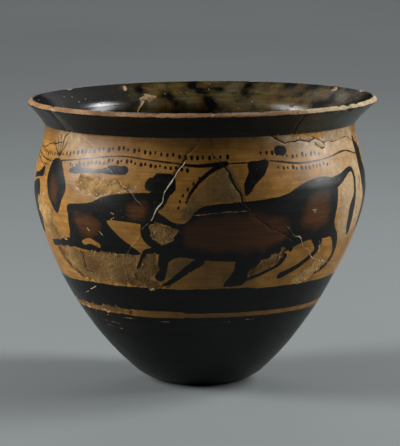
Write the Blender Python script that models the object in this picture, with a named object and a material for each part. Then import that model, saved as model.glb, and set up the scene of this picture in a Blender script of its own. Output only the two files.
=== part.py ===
"""Mastos: a deep drinking cup of wheel-thrown clay, round like a breast, with an offset, flaring rim.

The cup is one turned piece. It has no foot and no handles, and stands on a small flat that was
pared at the bottom. Its outline is drawn once as a profile in the plane of X and Z, from the middle
of the underside, up the outer wall, over the lip and down the inner wall, and is spun about Z.
Lengths are in metres. The origin is the middle of the flat underside, and +Z points up.
"""
import math

import bmesh
import bpy
from mathutils import Vector

# Flat underside, and the turn that leads from it into the wall
BASE_RADIUS = 0.0145
TURN_RADIUS = 0.0239
TURN_HEIGHT = 0.0045
BASE_EDGE_RUN = 0.0020
TURN_RUN = 0.0040

# Lower wall: its slope where it leaves the turn, and how far the curve follows that slope
LOWER_WALL_SLOPE = math.radians(41.0)
LOWER_WALL_RUN = 0.0296

# Belly, the widest place of the body, and the length over which the wall stands upright there
BELLY_RADIUS = 0.0619
BELLY_HEIGHT = 0.0729
BELLY_RUN = 0.0134

# Shoulder, drawn in from the belly to the neck
SHOULDER_HEIGHT = 0.0241
SHOULDER_RUN = 0.0110
NECK_RADIUS = 0.0578
NECK_RUN = 0.0080

# Rim, set off from the neck by an angle, and its slanting lip
RIM_HEIGHT = 0.0079
RIM_RADIUS = 0.0650
RIM_HOLLOW = 0.0004
LIP_THICKNESS = 0.0024
LIP_SLANT = math.radians(46.0)
LIP_ROUNDING = 0.0005

# Thickness of the clay: at the neck and belly, at the floor, and the height over which it changes
WALL_THICKNESS = 0.0036
FLOOR_THICKNESS = 0.0060
FLOOR_BLEND_HEIGHT = 0.0250
INNER_RIM_RUN = 0.0040

# Finish of the plain solid: linear colour and roughness of black gloss slip over orange clay
GLOSS_COLOUR = (0.030, 0.024, 0.019, 1.0)
GLOSS_ROUGHNESS = 0.28
SHARP_EDGE_ANGLE = math.radians(25.0)

# Fineness of the turned surface
SEGMENTS = 84
TURN_STEPS = 4
LOWER_WALL_STEPS = 12
SHOULDER_STEPS = 6
RIM_STEPS = 3
LIP_STEPS = 3
INNER_RIM_STEPS = 5
MERGE_DISTANCE = 0.000001


def clear_scene():
    """Removes whatever the file opened with."""
    for old in list(bpy.data.objects):
        bpy.data.objects.remove(old, do_unlink=True)


def clay_material():
    """Fired clay under a black gloss slip, as one finish for the plain solid."""
    material = bpy.data.materials.new("black_gloss_on_clay")
    material.use_nodes = True
    shader = material.node_tree.nodes["Principled BSDF"]
    shader.inputs["Base Color"].default_value = GLOSS_COLOUR
    shader.inputs["Roughness"].default_value = GLOSS_ROUGHNESS
    shader.inputs["Metallic"].default_value = 0.0
    return material


def curve(start, start_handle, end_handle, end, steps):
    """Points on a cubic curve between two profile points, without its first one."""
    points = []
    for step in range(1, steps + 1):
        t = step / steps
        u = 1.0 - t
        points.append(u**3 * start + 3 * u**2 * t * start_handle + 3 * u * t**2 * end_handle + t**3 * end)
    return points


def direction(angle):
    """Unit step in the profile's plane, angle above the horizontal."""
    return Vector((math.cos(angle), math.sin(angle)))


def body_profile():
    """Outer wall from the edge of the flat underside to the neck, as (radius, height) points."""
    upright = direction(math.radians(90.0))
    base_edge = Vector((BASE_RADIUS, 0.0))
    turn = Vector((TURN_RADIUS, TURN_HEIGHT))
    belly = Vector((BELLY_RADIUS, BELLY_HEIGHT))
    neck = Vector((NECK_RADIUS, BELLY_HEIGHT + SHOULDER_HEIGHT))
    level = direction(0.0)
    slope = direction(LOWER_WALL_SLOPE)

    points = [base_edge]
    points += curve(base_edge, base_edge + level * BASE_EDGE_RUN,
                    turn - slope * TURN_RUN, turn, TURN_STEPS)
    points += curve(turn, turn + slope * LOWER_WALL_RUN,
                    belly - upright * BELLY_RUN, belly, LOWER_WALL_STEPS)
    points += curve(belly, belly + upright * SHOULDER_RUN,
                    neck - upright * NECK_RUN, neck, SHOULDER_STEPS)
    return points


def rim_profile(neck):
    """Outer face of the rim from the neck up, then over the lip to its inner edge."""
    lip_outer = Vector((RIM_RADIUS, neck.y + RIM_HEIGHT))
    lip_across = direction(math.radians(180.0) - LIP_SLANT)
    lip_inner = lip_outer + lip_across * LIP_THICKNESS
    flare = (lip_outer - neck).normalized()
    hollow = Vector((-flare.y, flare.x)) * RIM_HOLLOW

    points = curve(neck, neck + flare * RIM_HEIGHT / 3 + hollow,
                   lip_outer - flare * RIM_HEIGHT / 3 + hollow, lip_outer, RIM_STEPS)
    points += curve(lip_outer, lip_outer + flare * LIP_ROUNDING,
                    lip_inner + flare * LIP_ROUNDING, lip_inner, LIP_STEPS)
    return points


def thickness_at(height):
    """Clay thickness, which eases from the floor's to the wall's over the blend height."""
    share = min(height / FLOOR_BLEND_HEIGHT, 1.0)
    eased = share * share * (3.0 - 2.0 * share)
    return FLOOR_THICKNESS + (WALL_THICKNESS - FLOOR_THICKNESS) * eased


def inner_wall_profile(outer):
    """The outer wall's points moved inwards, square to the wall, from the floor's edge to the neck."""
    points = []
    for index in range(1, len(outer)):
        following = outer[min(index + 1, len(outer) - 1)]
        along = (following - outer[index - 1]).normalized()
        inwards = Vector((-along.y, along.x))
        points.append(outer[index] + inwards * thickness_at(outer[index].y))
    return points


def inner_rim_profile(lip_inner, flare, inner_neck):
    """Inner face of the rim, from the lip's inner edge down to the neck."""
    return curve(lip_inner, lip_inner - flare * INNER_RIM_RUN,
                 inner_neck + Vector((0.0, INNER_RIM_RUN)), inner_neck, INNER_RIM_STEPS)


def cup_profile():
    """The closed outline of the wall, from the underside's middle round to the floor's middle."""
    body = body_profile()
    neck = body[-1]
    rim = rim_profile(neck)
    flare = (rim[RIM_STEPS - 1] - neck).normalized()
    inner_wall = inner_wall_profile(body)
    inner_rim = inner_rim_profile(rim[-1], flare, inner_wall[-1])
    underside_middle = Vector((0.0, 0.0))
    floor_middle = Vector((0.0, FLOOR_THICKNESS))
    inside = inner_rim + list(reversed(inner_wall[:-1]))
    return [underside_middle] + body + rim + inside + [floor_middle]


def turned_mesh(name, profile):
    """Spins the profile about Z into a closed solid with its faces pointing out."""
    shape = bmesh.new()
    vertices = [shape.verts.new((point.x, 0.0, point.y)) for point in profile]
    for lower, upper in zip(vertices, vertices[1:]):
        shape.edges.new((lower, upper))
    bmesh.ops.spin(shape, geom=shape.verts[:] + shape.edges[:], cent=(0.0, 0.0, 0.0),
                   axis=(0.0, 0.0, 1.0), angle=math.tau, steps=SEGMENTS, use_merge=True)
    bmesh.ops.remove_doubles(shape, verts=shape.verts[:], dist=MERGE_DISTANCE)
    bmesh.ops.recalc_face_normals(shape, faces=shape.faces[:])
    mesh = bpy.data.meshes.new(name)
    shape.to_mesh(mesh)
    shape.free()
    mesh.shade_smooth()
    mesh.set_sharp_from_angle(angle=SHARP_EDGE_ANGLE)
    return mesh


def make_cup():
    """The whole vessel: one thrown and fired piece."""
    mesh = turned_mesh("cup", cup_profile())
    mesh.materials.append(clay_material())
    cup = bpy.data.objects.new("cup", mesh)
    bpy.context.scene.collection.objects.link(cup)
    return cup


clear_scene()
make_cup()
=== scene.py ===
"""Mastos cup: the thrown wall, the painting, the wear and the mends of a clay drinking cup.

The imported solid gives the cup's section. It is spun again with finer rows, refined where the
painting and the breaks need it, and given turning rings, cracks, flaked places and a nicked lip.
The painting is kept on the mesh as distances in mm, which the materials turn into slip and clay.
Places on the wall are (round, up) pairs in mm: round runs about the cup from the front towards
+X, on a circle of FRIEZE_RADIUS, and up is the height above the table.
"""
import math
from collections import namedtuple

import bmesh
import bpy
import numpy as np
from mathutils import Matrix, Vector, noise


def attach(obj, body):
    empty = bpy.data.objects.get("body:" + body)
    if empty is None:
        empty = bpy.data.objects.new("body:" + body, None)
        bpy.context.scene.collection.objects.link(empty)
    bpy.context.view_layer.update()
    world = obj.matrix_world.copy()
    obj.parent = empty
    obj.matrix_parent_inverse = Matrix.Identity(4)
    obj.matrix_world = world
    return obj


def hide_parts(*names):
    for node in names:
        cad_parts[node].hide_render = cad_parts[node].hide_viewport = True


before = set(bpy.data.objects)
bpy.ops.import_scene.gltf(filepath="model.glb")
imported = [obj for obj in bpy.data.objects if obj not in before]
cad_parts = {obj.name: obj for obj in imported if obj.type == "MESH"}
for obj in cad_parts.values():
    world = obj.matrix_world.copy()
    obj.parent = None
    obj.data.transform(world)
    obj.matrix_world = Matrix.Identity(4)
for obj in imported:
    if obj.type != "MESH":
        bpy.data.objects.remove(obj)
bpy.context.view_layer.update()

bl_info = {
    "name": "Mastos cup",
    "version": (1, 0, 0),
    "blender": (4, 5, 0),
    "location": "View3D > Sidebar > Mastos",
    "description": "Painted, worn and mended surface of a mastos cup, with its stage",
    "category": "Add Mesh",
}

MM = 0.001
FRIEZE_RADIUS = 60.0
ROUND = math.tau * FRIEZE_RADIUS

# Distances in mm: how far about itself a mark is measured, what stands for anything farther off, and the
# least length of a step, which keeps a division from failing
MARK_REACH = 4.0
FAR = 12.0
TINY = 1e-9

# Heights of the painted zones, in mm above the table, and the reserved line's half width round the cup
NECK_HEIGHT = 97.0
RIM_SLIP_FOOT = 97.15
FRIEZE_FOOT = 41.8
RESERVED_LINE_HEIGHT = 31.35
RESERVED_LINE = ((-190.0, 0.95), (-40.0, 1.0), (-30.0, 1.3), (-7.0, 1.25), (-6.4, 0.85), (190.0, 0.95))

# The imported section: the fewest rows it may have, the turn that makes a corner, how far in mm a corner is
# softened, the steps of a smooth stretch between two rows, and the even step in mm that it is measured in
LEAST_SECTION_ROWS = 10
CORNER_TURN = math.radians(35.0)
CORNER_SOFTNESS = 0.3
SECTION_STEPS = 12
SECTION_STEP = 0.05
MERGE = 0.00001

# The spun mesh: its columns round the cup, the gaps between its rows in mm by part of the wall, and how
# high, or how far past their edges, some of the parts start
COLUMNS = 264
ROW_GAPS = {"under": 3.0, "lower": 2.0, "frieze": 1.2, "rim": 0.9, "lip": 0.32, "mouth": 1.2, "bowl": 3.4}
MOUTH_HEIGHT = 90.0
FRIEZE_MARGIN = 3.0
LIP_MARGIN = 1.0

# Height in mm above which the marks inside the mouth are drawn
MOUTH_MARKS_FOOT = 60.0

# Rounds of refining: the reach in mm about lines, paint and break edges and chips, and how deep inside a
# flaked place and in a nick it starts. FAR leaves the last two out.
Reach = namedtuple("Reach", "lines edges chips flaked nicked")
REFINING = (
    Reach(1.1, 1.1, 1.2, 0.0, FAR),
    Reach(0.6, 0.4, 0.0, FAR, 0.02),
    Reach(0.28, 0.0, 0.0, FAR, FAR),
)

# Thrown shape: how far the axis wanders in X (mm) at heights above the table, and the rim's tilt, which
# grows between two heights
LEAN = ((0.0, 0.0), (20.0, -0.7), (40.0, -0.8), (55.0, -0.3), (75.0, 0.0), (97.0, 0.0), (106.0, 1.0))
RIM_RADIUS = 65.0
RIM_TILT = 0.55
RIM_TILT_HEIGHTS = (75.0, 106.0)

# Fractal noises, as fall-off, step between octaves and number of octaves, and how fine each is per mm
CRUMBLE_NOISE = (0.8, 2.1, 4)
CRUMBLE_SCALE = 0.45
GRIT_NOISE = (0.7, 2.2, 4)
GRIT_SCALE = 0.8
RING_NOISE = (0.7, 2.0, 3)
RING_STRIDE = 0.17
RING_ROW = 4.2

# Turning rings: how many are kept and how far apart in mm, how much shallower they are inside, and the
# heights in mm between which they start, so that the cup stands flat
RING_COUNT = 600
RING_SPACING = 0.5
INSIDE_RING_SHARE = 0.7
TABLE_CLEARANCE = (0.2, 3.0)

# Wandering of drawn lines: where the noise starts, which else differs from run to run, how fine it is per
# mm, and how far in mm each kind of line strays
WANDER_SEED = 11
WANDER_SCALE = 0.3
CRACK_WANDER = 0.7
BRUSH_WANDER = 0.2
SCRATCH_WANDER = 0.25

# Relief: from where to where in mm the wall sinks at a line and at a break, how deep a scratch is beside a
# crack, and how much of the breaks' depth their grit and the lip's has
LINE_FLOOR = 0.1
BREAK_SLOPE = (-0.1, 0.35)
SCRATCH_SHARE = 0.25
BREAK_GRIT = 0.45
LIP_GRIT = 0.25
LIP_GRIT_START = -0.6
LIP_WORN = (-0.3, 0.3)

# Squeeze of the noise's space across the turning, for streaks that run round the wall
DRAWN_OUT = (0.05, 0.05, 1.5)

# The noise node's values mostly lie between these
NOISE_LOW = 0.3
NOISE_HIGH = 0.7

# Half width in mm of the soft edge of paint and breaks, and of that of thin lines
PAINT_SOFT = 0.16
LINE_SOFT = 0.12

# Fired clay: its index of refraction and specular level, the slip's roughness outside and inside, and the
# width in mm of the crazing's meshes at the neck
FIRED_CLAY_IOR = 1.5
FIRED_CLAY_SPECULAR = 0.25
OUTSIDE_ROUGHNESS = 0.31
INSIDE_ROUGHNESS = 0.15
CRAZING_SIZE = 2.4

# Vine: half widths of its stem, and its two rows of dots (above and below the stem), all in mm
Dots = namedtuple("Dots", "offset spacing wide tall")
STEM_HALF_WIDTHS = (0.12, 0.40)
UPPER_DOTS = Dots(2.6, 2.17, 1.05, 1.6)
LOWER_DOTS = Dots(-1.8, 1.9, 1.1, 1.4)
DOT_ASTRAY = (0.6, 0.7, 0.0)

# The photograph's camera: its place and sight in m, its lens and sensor in mm, and how far it looks down
CAMERA_PLACE = (0.0, -1.150, 0.21603)
CAMERA_DIP = 7.7806
CAMERA_LENS = 249.9
CAMERA_SENSOR = 36.0
CAMERA_REACH = 20.0
FLOOR_SEGMENTS = 96

# Soft lights: sizes and distance from the aim in m, azimuth from the camera's side towards +X and
# elevation in degrees, and which power they take and their share of it
Lamp = namedtuple("Lamp", "name width height distance azimuth elevation power share aim")
ON_CUP = (0.0, 0.0, 0.06)
FAR_FLOOR = (0.0, 2.2, 0.0)
LAMPS = (
    Lamp("left_soft_light", 0.38, 0.36, 1.0, -85.0, 18.0, "side_power", 1.2, ON_CUP),
    Lamp("right_soft_light", 0.36, 0.50, 1.0, 92.0, 21.0, "side_power", 1.0, ON_CUP),
    Lamp("left_high_light", 0.44, 0.22, 1.4, -86.0, 36.0, "high_power", 0.7, ON_CUP),
    Lamp("right_high_light", 0.44, 0.32, 1.4, 105.0, 42.0, "high_power", 1.0, ON_CUP),
    Lamp("left_broad_light", 2.2, 1.5, 2.0, -132.0, 40.0, "broad_power", 0.6, ON_CUP),
    Lamp("right_broad_light", 2.2, 1.5, 2.0, 132.0, 40.0, "broad_power", 1.0, ON_CUP),
    Lamp("backdrop_light", 1.6, 1.0, 1.6, 180.0, 80.0, "backdrop_power", 1.0, FAR_FLOOR),
)

Mark = namedtuple("Mark", "closed points")
Surface = namedtuple("Surface", "colour roughness height")

MATH = "ShaderNodeMath"
VECTOR = "ShaderNodeVectorMath"
RANGE = "ShaderNodeMapRange"
MIX = "ShaderNodeMix"
COLOURS = {"output": 2, "data_type": "RGBA"}


def linear(code):
    """The linear colour of an sRGB hex value, with full alpha."""
    channels = [int(code[place:place + 2], 16) / 255.0 for place in (1, 3, 5)]
    return (*(c / 12.92 if c <= 0.04045 else ((c + 0.055) / 1.055) ** 2.4 for c in channels), 1.0)


def stroke(*points):
    """A brush stroke through (round, up, half width) points."""
    return Mark(False, points)


def line(half_width, *points):
    """A line of one width through (round, up) points."""
    return Mark(False, tuple((x, h, half_width) for x, h in points))


def area(*points):
    """A closed, rounded outline through (round, up) points."""
    return Mark(True, points)


def moved(marks, shift=0.0, lift=0.0, mirror=False):
    """The same marks elsewhere on the wall, mirrored first if asked."""
    turn = -1.0 if mirror else 1.0
    return [Mark(mark.closed, tuple((x * turn + shift, h + lift, *width) for x, h, *width in mark.points))
            for mark in marks]


# The clay window under the crouching figure's arm, which is also flaked
ARM_WINDOW = area((-18.0, 66.0), (-14.5, 66.4), (-11.4, 65.4), (-8.0, 64.5), (-8.4, 62.8), (-11.0, 59.9),
                  (-13.6, 58.8), (-15.9, 60.4), (-17.3, 62.6))

# The crouching figure on the left, a plain silhouette with bent legs and one arm held out
CROUCHING_FIGURE = [
    area((-53.6, 70.6), (-49.5, 71.7), (-41.6, 72.9), (-35.0, 75.7), (-28.0, 77.0), (-21.0, 77.6),
         (-12.6, 77.4), (-13.6, 74.6), (-15.4, 71.2), (-16.4, 67.2), (-20.0, 66.2), (-27.0, 66.8),
         (-34.5, 66.6), (-30.5, 61.5), (-25.0, 57.4), (-22.5, 54.8), (-30.0, 54.3), (-41.0, 54.2),
         (-52.0, 55.0), (-56.8, 55.8), (-54.6, 61.0), (-53.8, 66.0)),
    stroke((-12.4, 80.8, 4.2), (-13.0, 81.5, 4.2)),
    stroke((-17.2, 81.0, 2.1), (-17.6, 80.2, 2.0)),
    stroke((-13.4, 78.2, 3.2), (-15.4, 75.0, 3.6)),
    stroke((-56.0, 56.6, 1.8), (-64.0, 55.7, 1.4), (-71.6, 54.8, 1.2)),
    stroke((-17.5, 71.0, 3.0), (-18.8, 66.0, 2.3), (-19.4, 61.5, 1.7), (-15.0, 57.6, 1.6)),
    stroke((-16.0, 69.4, 2.0), (-12.7, 67.9, 1.4), (-9.2, 66.2, 1.0), (-5.0, 64.5, 2.4)),
]

# Clay that shows between the crouching figure's limbs
FIGURE_WINDOWS = [
    stroke((-47.6, 57.5, 0.9), (-44.0, 58.3, 1.1), (-40.2, 56.9, 0.8)),
    ARM_WINDOW,
]

# The bull, which lowers its head to the left
BULL = [
    area((-10.0, 64.6), (-6.6, 66.2), (-3.8, 68.2), (-1.6, 71.2), (1.8, 73.4), (10.0, 74.3), (21.2, 75.1),
         (30.9, 76.4), (38.0, 79.6), (46.3, 81.6), (54.0, 80.6), (56.4, 77.5), (56.6, 72.0), (56.4, 65.0),
         (58.6, 59.6), (51.0, 58.4), (43.5, 58.6), (36.0, 56.0), (29.6, 53.4), (21.5, 52.4), (10.0, 52.6),
         (0.0, 53.4), (-8.0, 54.8), (-11.0, 59.0)),
    stroke((54.0, 78.4, 2.4), (60.0, 80.2, 1.6), (64.5, 82.0, 1.1), (68.4, 82.2, 0.9), (70.0, 78.6, 0.9),
           (69.4, 73.0, 1.1), (68.5, 68.8, 2.3), (68.9, 63.6, 2.2), (70.6, 58.8, 1.2)),
    stroke((-2.0, 61.5, 6.5), (-8.5, 58.5, 4.4), (-13.0, 54.0, 2.3), (-14.2, 50.0, 2.0),
           (-15.4, 47.0, 2.3)),
    stroke((-6.0, 58.0, 3.0), (-13.0, 56.6, 1.6), (-20.0, 56.0, 1.0), (-22.6, 51.8, 0.8),
           (-25.6, 48.6, 0.5), (-29.5, 46.8, 0.35)),
    stroke((0.5, 52.8, 1.7), (-4.0, 49.8, 1.5), (-8.0, 46.8, 1.2), (-11.5, 44.4, 0.9), (-14.5, 43.3, 0.4)),
    area((14.6, 53.4), (14.0, 49.8), (12.4, 46.4), (10.2, 43.0), (14.5, 42.8), (18.6, 43.4), (20.4, 47.4),
         (24.5, 52.6), (20.0, 55.0)),
    stroke((36.9, 58.8, 0.9), (36.3, 55.6, 0.8)),
    stroke((34.0, 53.4, 1.3), (33.2, 51.4, 1.2), (31.5, 49.8, 0.7), (25.5, 47.2, 0.6), (19.4, 45.2, 0.6)),
    stroke((47.4, 60.0, 2.6), (50.0, 56.6, 2.0), (49.8, 53.8, 1.2), (46.0, 51.0, 1.0), (40.5, 48.0, 1.1),
           (34.6, 45.8, 1.2)),
    stroke((56.0, 61.6, 1.7), (60.6, 57.2, 1.6), (63.4, 52.0, 1.1), (62.0, 48.2, 1.1), (57.4, 45.8, 0.8),
           (51.0, 44.8, 0.4)),
]

# Where the slip over the figures fired brown
BROWNED = [
    area((-50.5, 67.5), (-46.0, 68.6), (-41.0, 67.6), (-38.5, 64.8), (-41.0, 61.4), (-47.0, 60.8),
         (-51.0, 63.4)),
    area((-24.6, 73.6), (-20.6, 74.0), (-18.8, 71.0), (-19.8, 68.0), (-24.0, 68.4), (-25.4, 71.0)),
    area((-5.0, 65.4), (2.0, 69.4), (12.0, 70.4), (22.0, 70.2), (31.0, 67.0), (33.0, 61.6), (26.0, 57.0),
         (12.0, 56.4), (-1.0, 57.6), (-5.6, 61.0)),
    area((40.0, 72.5), (45.0, 75.6), (50.6, 75.0), (51.6, 68.0), (49.6, 63.4), (43.4, 62.8), (39.4, 66.6)),
]

ALMOND_LEAF = [
    area((-63.8, 87.0), (-59.8, 86.2), (-56.6, 81.8), (-54.4, 77.0), (-57.0, 71.8), (-60.6, 67.0),
         (-64.6, 70.4), (-67.8, 75.4), (-68.4, 80.4), (-66.6, 85.6)),
]

SPINDLE = [
    stroke((-53.0, 83.5, 0.9), (-49.2, 84.0, 1.5), (-45.6, 84.0, 0.9), (-38.0, 84.4, 0.8),
           (-33.6, 85.0, 1.6), (-27.8, 85.2, 1.5)),
    stroke((-49.3, 85.0, 0.9), (-48.9, 87.0, 0.4)),
]

BRANCH = [
    stroke((9.5, 88.0, 0.9), (5.0, 86.2, 0.8), (0.4, 82.6, 0.65), (-2.8, 78.6, 0.6), (-4.8, 74.6, 0.35)),
    stroke((9.5, 88.2, 0.9), (-1.0, 87.4, 0.6), (-7.0, 88.0, 0.4)),
]

BERRIES = [line(0.42, (x, h - 0.2), (x + 0.1, h + 0.3))
           for x, h in ((2.4, 84.6), (-0.2, 83.0), (-2.4, 81.2), (-4.3, 79.2), (-5.8, 77.0), (-6.9, 74.8),
                        (-7.5, 72.6))]

HANGING_CLOTH = [
    area((17.4, 88.3), (21.5, 88.8), (25.4, 88.9), (24.0, 84.4), (20.0, 80.8), (17.6, 77.6), (15.8, 76.8),
         (15.6, 81.0), (17.4, 85.0)),
    stroke((29.8, 91.9, 1.7), (31.8, 91.8, 1.7)),
]

RAYS = [line(0.24, (-62.4, 87.6), end)
        for end in ((-69.0, 92.6), (-66.6, 94.6), (-63.8, 95.6), (-60.8, 95.2), (-58.4, 93.4))]

LEFT_FIGURE = [
    area((-73.0, 83.4), (-72.6, 79.6), (-78.5, 78.6), (-85.0, 77.4), (-84.0, 79.6), (-78.4, 80.6)),
    area((-76.6, 77.6), (-75.8, 70.0), (-78.4, 60.2), (-84.0, 57.0), (-92.0, 58.0), (-97.0, 64.0),
         (-94.0, 73.0), (-86.0, 76.0)),
]

RIGHT_FIGURE = [
    area((77.0, 93.6), (81.0, 91.0), (83.0, 86.0), (88.0, 82.0), (93.0, 76.0), (94.0, 68.0), (90.0, 60.0),
         (84.0, 58.6), (80.4, 62.0), (80.6, 70.0), (78.4, 76.0), (77.2, 82.0), (77.6, 88.0)),
    stroke((82.5, 87.5, 3.0), (83.8, 86.6, 3.0)),
    stroke((74.2, 74.0, 0.3), (75.4, 79.0, 0.4)),
]

# The far side, plainer: the vine goes on round, with a second bull, leaves and branches under it
BACK = (moved(BULL, 204.0, 0.0, True)
        + moved(ALMOND_LEAF, 176.0, -1.0) + moved(ALMOND_LEAF, -45.0, -2.0)
        + moved(ALMOND_LEAF, -204.0, 0.5, True)
        + moved(BRANCH + BERRIES, 118.0, 0.0, True) + moved(BRANCH + BERRIES, -128.0, -0.5)
        + moved(HANGING_CLOTH, -150.0, 0.4, True))

BROWN_PLACES = (BROWNED + moved(BROWNED, 204.0, 0.0, True)
                + [area((-63.5, 79.4), (-60.0, 77.0), (-61.5, 72.0), (-64.8, 74.4))])
SLIP_FIGURES = (CROUCHING_FIGURE + BULL + ALMOND_LEAF + SPINDLE + BRANCH + BERRIES + HANGING_CLOTH + RAYS
                + LEFT_FIGURE + RIGHT_FIGURE + BACK)

# The vine's stem: its height at places round the cup, the steps of its curve between them, and the
# places along it that have no dots
VINE = ((-180.0, 88.0), (-150.0, 87.2), (-120.0, 88.4), (-92.0, 87.6), (-72.0, 85.6), (-59.0, 86.5),
        (-43.9, 88.5), (-30.5, 90.1), (-18.3, 89.2), (-7.2, 88.1), (-1.8, 87.4), (9.0, 88.0), (16.4, 88.2),
        (25.3, 88.6), (38.6, 87.0), (52.0, 87.6), (66.0, 89.1), (78.4, 87.1), (100.0, 88.2), (130.0, 87.2),
        (160.0, 88.6))
VINE_STEPS = 8
UNDOTTED = [
    line(2.6, (-1.0, 85.6), (26.0, 86.4)),
    line(6.0, (58.0, 89.0), (92.0, 88.0)),
    line(2.4, (-68.0, 84.0), (-56.0, 84.0)),
    line(1.6, (12.6, 90.9), (20.6, 90.9)),
    line(1.6, (50.0, 90.9), (70.0, 91.4)),
]

# Open cracks between the glued sherds
CRACKS = [
    line(0.20, (-55.7, 97.6), (-59.8, 95.1), (-63.3, 92.6), (-71.4, 91.6), (-84.0, 89.0), (-96.0, 92.0)),
    stroke((-31.0, 82.0, 0.05), (-27.2, 79.0, 0.12), (-23.2, 75.2, 0.06)),
    stroke((-0.4, 97.3, 0.13), (-3.2, 93.0, 0.12), (-6.4, 88.6, 0.20), (-8.8, 84.6, 0.20),
           (-10.4, 82.2, 0.08)),
    line(0.13, (4.1, 96.9), (4.7, 91.6), (8.6, 87.6)),
    stroke((8.6, 87.4, 0.28), (10.6, 83.5, 0.40), (13.3, 78.6, 0.42), (15.7, 73.9, 0.34),
           (17.5, 71.3, 0.24), (20.5, 68.2, 0.15), (27.5, 63.8, 0.12), (32.1, 61.2, 0.10),
           (36.6, 59.4, 0.14)),
    line(0.22, (27.0, 97.3), (30.1, 95.4), (33.1, 94.5), (40.0, 94.8), (44.5, 94.1), (48.4, 94.9)),
    line(0.13, (46.2, 95.5), (52.3, 93.2), (53.0, 91.3), (50.5, 90.8), (47.6, 93.2)),
    line(0.12, (52.3, 93.2), (56.8, 93.2), (63.4, 92.9), (69.1, 93.9), (78.5, 91.8), (92.0, 93.0)),
    line(0.20, (-50.7, 53.1), (-50.8, 49.6), (-51.7, 46.8), (-47.6, 45.2)),
    line(0.20, (-67.6, 53.3), (-66.0, 49.3), (-61.2, 46.1), (-55.5, 43.7)),
    line(0.18, (-84.3, 63.3), (-82.5, 57.1), (-81.6, 53.4)),
    line(0.16, (36.8, 97.2), (36.2, 101.0), (36.0, 104.9)),
    line(0.20, (-59.6, 97.4), (-60.4, 101.0), (-61.2, 105.2)),
    line(0.24, (-104.0, 90.0), (-112.0, 78.0), (-118.0, 66.0), (-128.0, 56.0), (-133.0, 46.0)),
    line(0.20, (112.0, 95.0), (118.0, 84.0), (128.0, 76.0), (136.0, 62.0), (150.0, 54.0), (158.0, 44.0)),
    line(0.20, (136.0, 62.0), (124.0, 55.0), (112.0, 50.0), (98.0, 48.0)),
    line(0.18, (-150.0, 97.0), (-154.0, 86.0), (-162.0, 74.0), (-166.0, 60.0), (-176.0, 47.0)),
]

# Joins whose glue or plaster shows as a pale line
FILLED_JOINS = [
    stroke((-5.6, 89.4, 0.10), (-6.3, 88.0, 0.24), (-8.2, 84.8, 0.10), (-10.0, 82.4, 0.20),
           (-11.5, 79.0, 0.20), (-12.4, 76.8, 0.22), (-13.7, 73.8, 0.29), (-15.4, 71.1, 0.27),
           (-16.7, 69.0, 0.18), (-19.4, 65.5, 0.10), (-23.9, 59.8, 0.06), (-29.8, 52.8, 0.05)),
    line(0.08, (-52.7, 97.5), (-43.9, 93.1), (-39.4, 89.9), (-35.0, 86.3), (-30.5, 82.0)),
    stroke((-30.5, 82.0, 0.06), (-26.0, 78.6, 0.09), (-22.6, 75.4, 0.09), (-19.8, 72.4, 0.04)),
    stroke((31.0, 66.0, 0.05), (34.6, 63.2, 0.06), (36.4, 61.4, 0.10), (39.4, 59.9, 0.14),
           (42.1, 56.8, 0.13), (45.0, 55.0, 0.12), (47.4, 52.6, 0.12), (54.5, 49.8, 0.12),
           (63.5, 48.1, 0.10), (71.3, 47.5, 0.10)),
    line(0.12, (43.3, 69.9), (44.9, 69.4)),
    line(0.09, (44.2, 70.6), (44.0, 68.8)),
    line(0.30, (-154.0, 86.0), (-160.0, 76.0)),
    line(0.28, (118.0, 84.0), (127.0, 77.0)),
]

# Scratches through the slip, down to the clay
SCRATCHES = [
    line(0.08, (-68.0, 35.2), (-57.2, 37.6), (-49.0, 40.5)),
    line(0.07, (-1.7, 70.0), (6.9, 70.9), (16.4, 71.2)),
    line(0.05, (-60.0, 29.6), (-47.0, 29.0), (-30.0, 28.8), (-13.5, 28.4)),
    line(0.04, (-66.0, 27.0), (-50.0, 26.2), (-30.0, 26.6)),
    line(0.04, (-57.0, 24.6), (-44.0, 24.0)),
    line(0.06, (7.0, 28.2), (16.0, 28.4)),
    line(0.06, (20.0, 28.7), (29.0, 29.2)),
    line(0.10, (-32.6, 69.9), (-31.4, 69.4), (-31.4, 68.2), (-32.8, 67.4)),
    line(0.09, (-44.6, 63.8), (-43.4, 62.2)),
    line(0.08, (-38.8, 62.6), (-37.4, 61.0)),
    line(0.12, (120.0, 24.0), (140.0, 26.0)),
    line(0.14, (-120.0, 36.0), (-104.0, 33.0)),
]

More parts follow.
